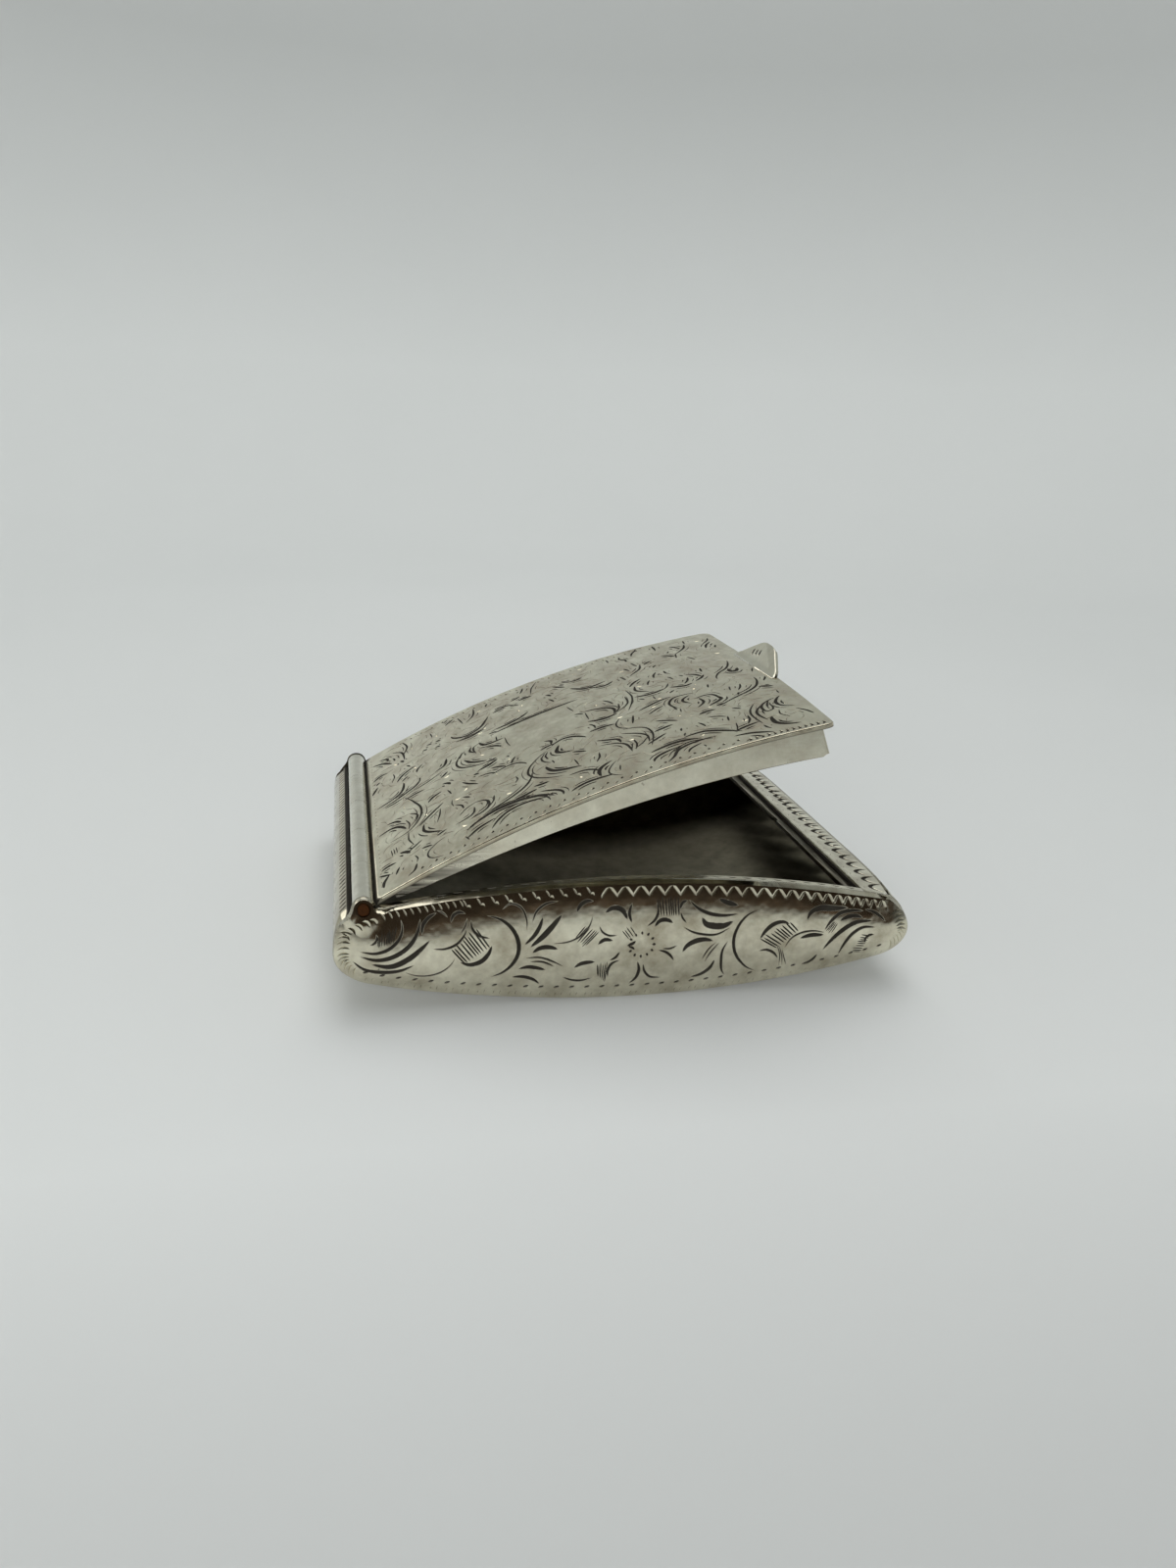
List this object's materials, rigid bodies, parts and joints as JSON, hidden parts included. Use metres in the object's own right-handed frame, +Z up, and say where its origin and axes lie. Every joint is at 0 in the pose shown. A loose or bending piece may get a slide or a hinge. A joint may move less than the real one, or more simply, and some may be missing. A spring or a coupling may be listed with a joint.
{
  "type": "hinged card case",
  "caption": "Bowed silver pocket case with lens-shaped engraved sides, a flush hinged lid on a knuckle barrel, an inner ledge and a turned-up thumb tab.",
  "frame": {"origin": "on the resting surface, under the middle of the bowed belly", "axes": "+X from the hinge end to the catch end, +Y from the front side panel to the back one, +Z up"},
  "size_m": [0.084, 0.0698, 0.0441],
  "materials": {
    "silver_engraved": "bright-cut engraved silver, worn and lightly tarnished in the cuts",
    "silver_plain": "polished silver with fine scratches",
    "silver_inside": "dull, tarnished silver",
    "pin_iron": "browned iron wire"
  },
  "bodies": {
    "case_body": {"base_wrap": "silver_plain", "front_panel": "silver_engraved", "back_panel": "silver_engraved", "front_rim": "silver_engraved", "back_rim": "silver_engraved", "end_rim": "silver_engraved", "front_ledge": "silver_inside", "back_ledge": "silver_inside", "end_ledge": "silver_inside", "hinge_bearer": "silver_inside", "body_knuckle_front": "silver_plain", "body_knuckle_middle": "silver_plain", "body_knuckle_back": "silver_plain", "hinge_pin": "pin_iron"},
    "lid": {"lid_plate": "silver_engraved", "lid_skirt_front": "silver_plain", "lid_skirt_back": "silver_plain", "lid_skirt_end": "silver_plain", "lid_bearer": "silver_inside", "thumb_tab": "silver_plain", "lid_knuckle_front": "silver_plain", "lid_knuckle_back": "silver_plain"}
  },
  "joints": [
    {"name": "lid_hinge", "type": "hinge", "parent": "case_body", "child": "lid", "pos_m": [-0.0378, 0, 0.0153], "axis": [0, -1, 0], "range_deg": [-20.9, 79.1]}
  ]
}
